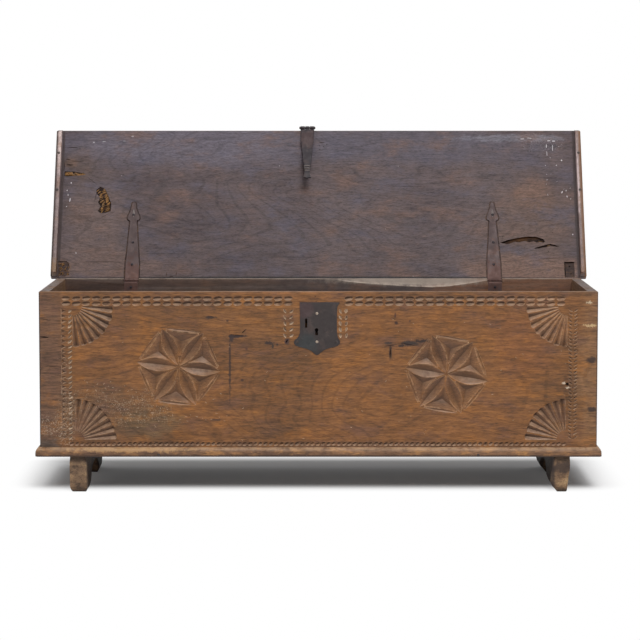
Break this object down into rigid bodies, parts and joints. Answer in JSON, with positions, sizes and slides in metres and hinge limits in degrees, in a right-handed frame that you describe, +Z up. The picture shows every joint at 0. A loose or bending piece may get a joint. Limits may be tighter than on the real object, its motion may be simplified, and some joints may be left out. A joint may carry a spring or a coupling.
{
  "type": "farmhouse chest",
  "caption": "Long dovetailed wooden chest on arched foot runners, with a chip-carved front, a cleated lid on iron strap hinges and a hasp that latches into a plate lock.",
  "frame": {"origin": "on the floor under the middle of the chest's box with the lid open", "axes": "+X to the right along the front, +Y to the back, +Z up; the carved front faces -Y"},
  "size_m": [1.54, 0.7528, 0.9761],
  "materials": {
    "carved_front_wood": "waxed, worn",
    "case_wood": "waxed, worn",
    "lid_wood": "dry, greyed",
    "foot_wood": "worn",
    "forged_iron": "forged, dark",
    "worn_iron": "forged, rubbed"
  },
  "bodies": {
    "case": {"front_board": "carved_front_wood", "back_board": "case_wood", "left_end_board": "case_wood", "right_end_board": "case_wood", "bottom_plank_front": "case_wood", "bottom_plank_rear": "case_wood", "base_moulding_front": "case_wood", "base_moulding_left": "case_wood", "base_moulding_right": "case_wood", "left_foot_runner": "foot_wood", "right_foot_runner": "foot_wood", "left_hinge_case_strap": "forged_iron", "right_hinge_case_strap": "forged_iron", "left_hinge_pin": "worn_iron", "right_hinge_pin": "worn_iron", "lock_plate": "forged_iron", "left_bolt_guide": "forged_iron", "right_bolt_guide": "forged_iron", "bolt_spring": "forged_iron", "front_moulding_nail_1": "worn_iron", "front_moulding_nail_2": "worn_iron", "left_moulding_nail_1": "worn_iron", "right_moulding_nail_1": "worn_iron", "left_front_bottom_nail_1": "worn_iron", "left_rear_bottom_nail_1": "worn_iron", "right_front_bottom_nail_1": "worn_iron", "right_rear_bottom_nail_1": "worn_iron", "left_case_strap_nail_1": "worn_iron", "left_case_strap_nail_2": "worn_iron", "right_case_strap_nail_1": "worn_iron", "right_case_strap_nail_2": "worn_iron", "lock_plate_nail_1": "worn_iron", "lock_plate_nail_2": "worn_iron", "lock_plate_nail_3": "worn_iron", "lock_plate_nail_4": "worn_iron"},
    "lid": {"lid_board": "lid_wood", "left_lid_cleat": "lid_wood", "right_lid_cleat": "lid_wood", "left_hinge_lid_strap": "forged_iron", "right_hinge_lid_strap": "forged_iron", "hasp_bracket": "forged_iron", "left_lid_strap_nail_1": "worn_iron", "left_lid_strap_nail_2": "worn_iron", "left_lid_strap_nail_3": "worn_iron", "right_lid_strap_nail_1": "worn_iron", "right_lid_strap_nail_2": "worn_iron", "right_lid_strap_nail_3": "worn_iron", "left_cleat_nail_1": "worn_iron", "left_cleat_nail_2": "worn_iron", "right_cleat_nail_1": "worn_iron", "right_cleat_nail_2": "worn_iron", "hasp_bracket_nail_1": "worn_iron", "hasp_bracket_nail_2": "worn_iron"},
    "hasp_pin": {"hasp_pin": "worn_iron"},
    "hasp": {"hasp": "forged_iron", "hasp_staple": "worn_iron"},
    "lock_bolt": {"lock_bolt": "forged_iron"}
  },
  "joints": [
    {"name": "lid_hinge", "type": "hinge", "parent": "case", "child": "lid", "pos_m": [0, 0.11748, 0.5382], "axis": [1, 0, 0], "range_deg": [0, 118]},
    {"name": "hasp_pin_turn", "type": "hinge", "parent": "lid", "child": "hasp_pin", "pos_m": [-0.033, 0.35049, 0.96983], "axis": [1, 0, 0], "range_deg": [-80, 0]},
    {"name": "hasp_swing", "type": "hinge", "parent": "hasp_pin", "child": "hasp", "pos_m": [-0.033, 0.35049, 0.96983], "axis": [-1, 0, 0], "range_deg": [-7.2, 100]},
    {"name": "lock_bolt_slide", "type": "slide", "parent": "case", "child": "lock_bolt", "axis": [-1, 0, 0], "range_m": [0, 0.012]}
  ],
  "couplings": [
    {"joint": "hasp_pin_turn", "follows": "lid_hinge", "ratio": -0.67542}
  ]
}
